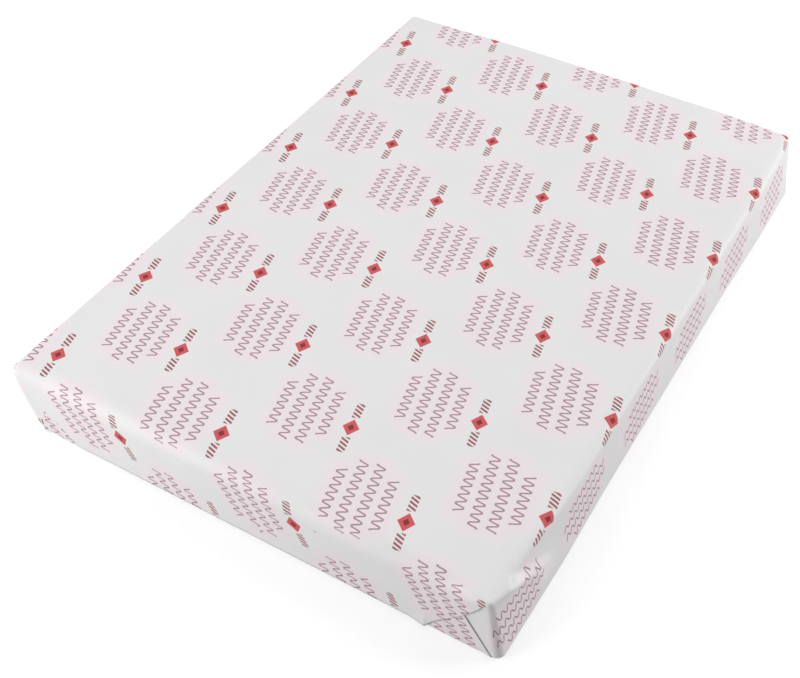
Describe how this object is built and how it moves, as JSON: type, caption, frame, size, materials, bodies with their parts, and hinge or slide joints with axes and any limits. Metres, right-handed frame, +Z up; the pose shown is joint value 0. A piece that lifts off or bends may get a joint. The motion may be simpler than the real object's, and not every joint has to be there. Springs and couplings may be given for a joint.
{
  "type": "ream of paper",
  "caption": "Sealed flat pack of large coated paper sheets in a printed paper wrapper with folded ends, slightly leaning, one corner slack.",
  "frame": {"origin": "under the middle of the pack, on the plane it rests on", "axes": "+X across the sheets to the right, +Y along the sheets, +Z up through the stack"},
  "size_m": [0.3262, 0.4542, 0.053],
  "materials": {
    "wrapper": "satin"
  },
  "bodies": {
    "root": {"wrapped_ream": "wrapper"}
  },
  "joints": []
}
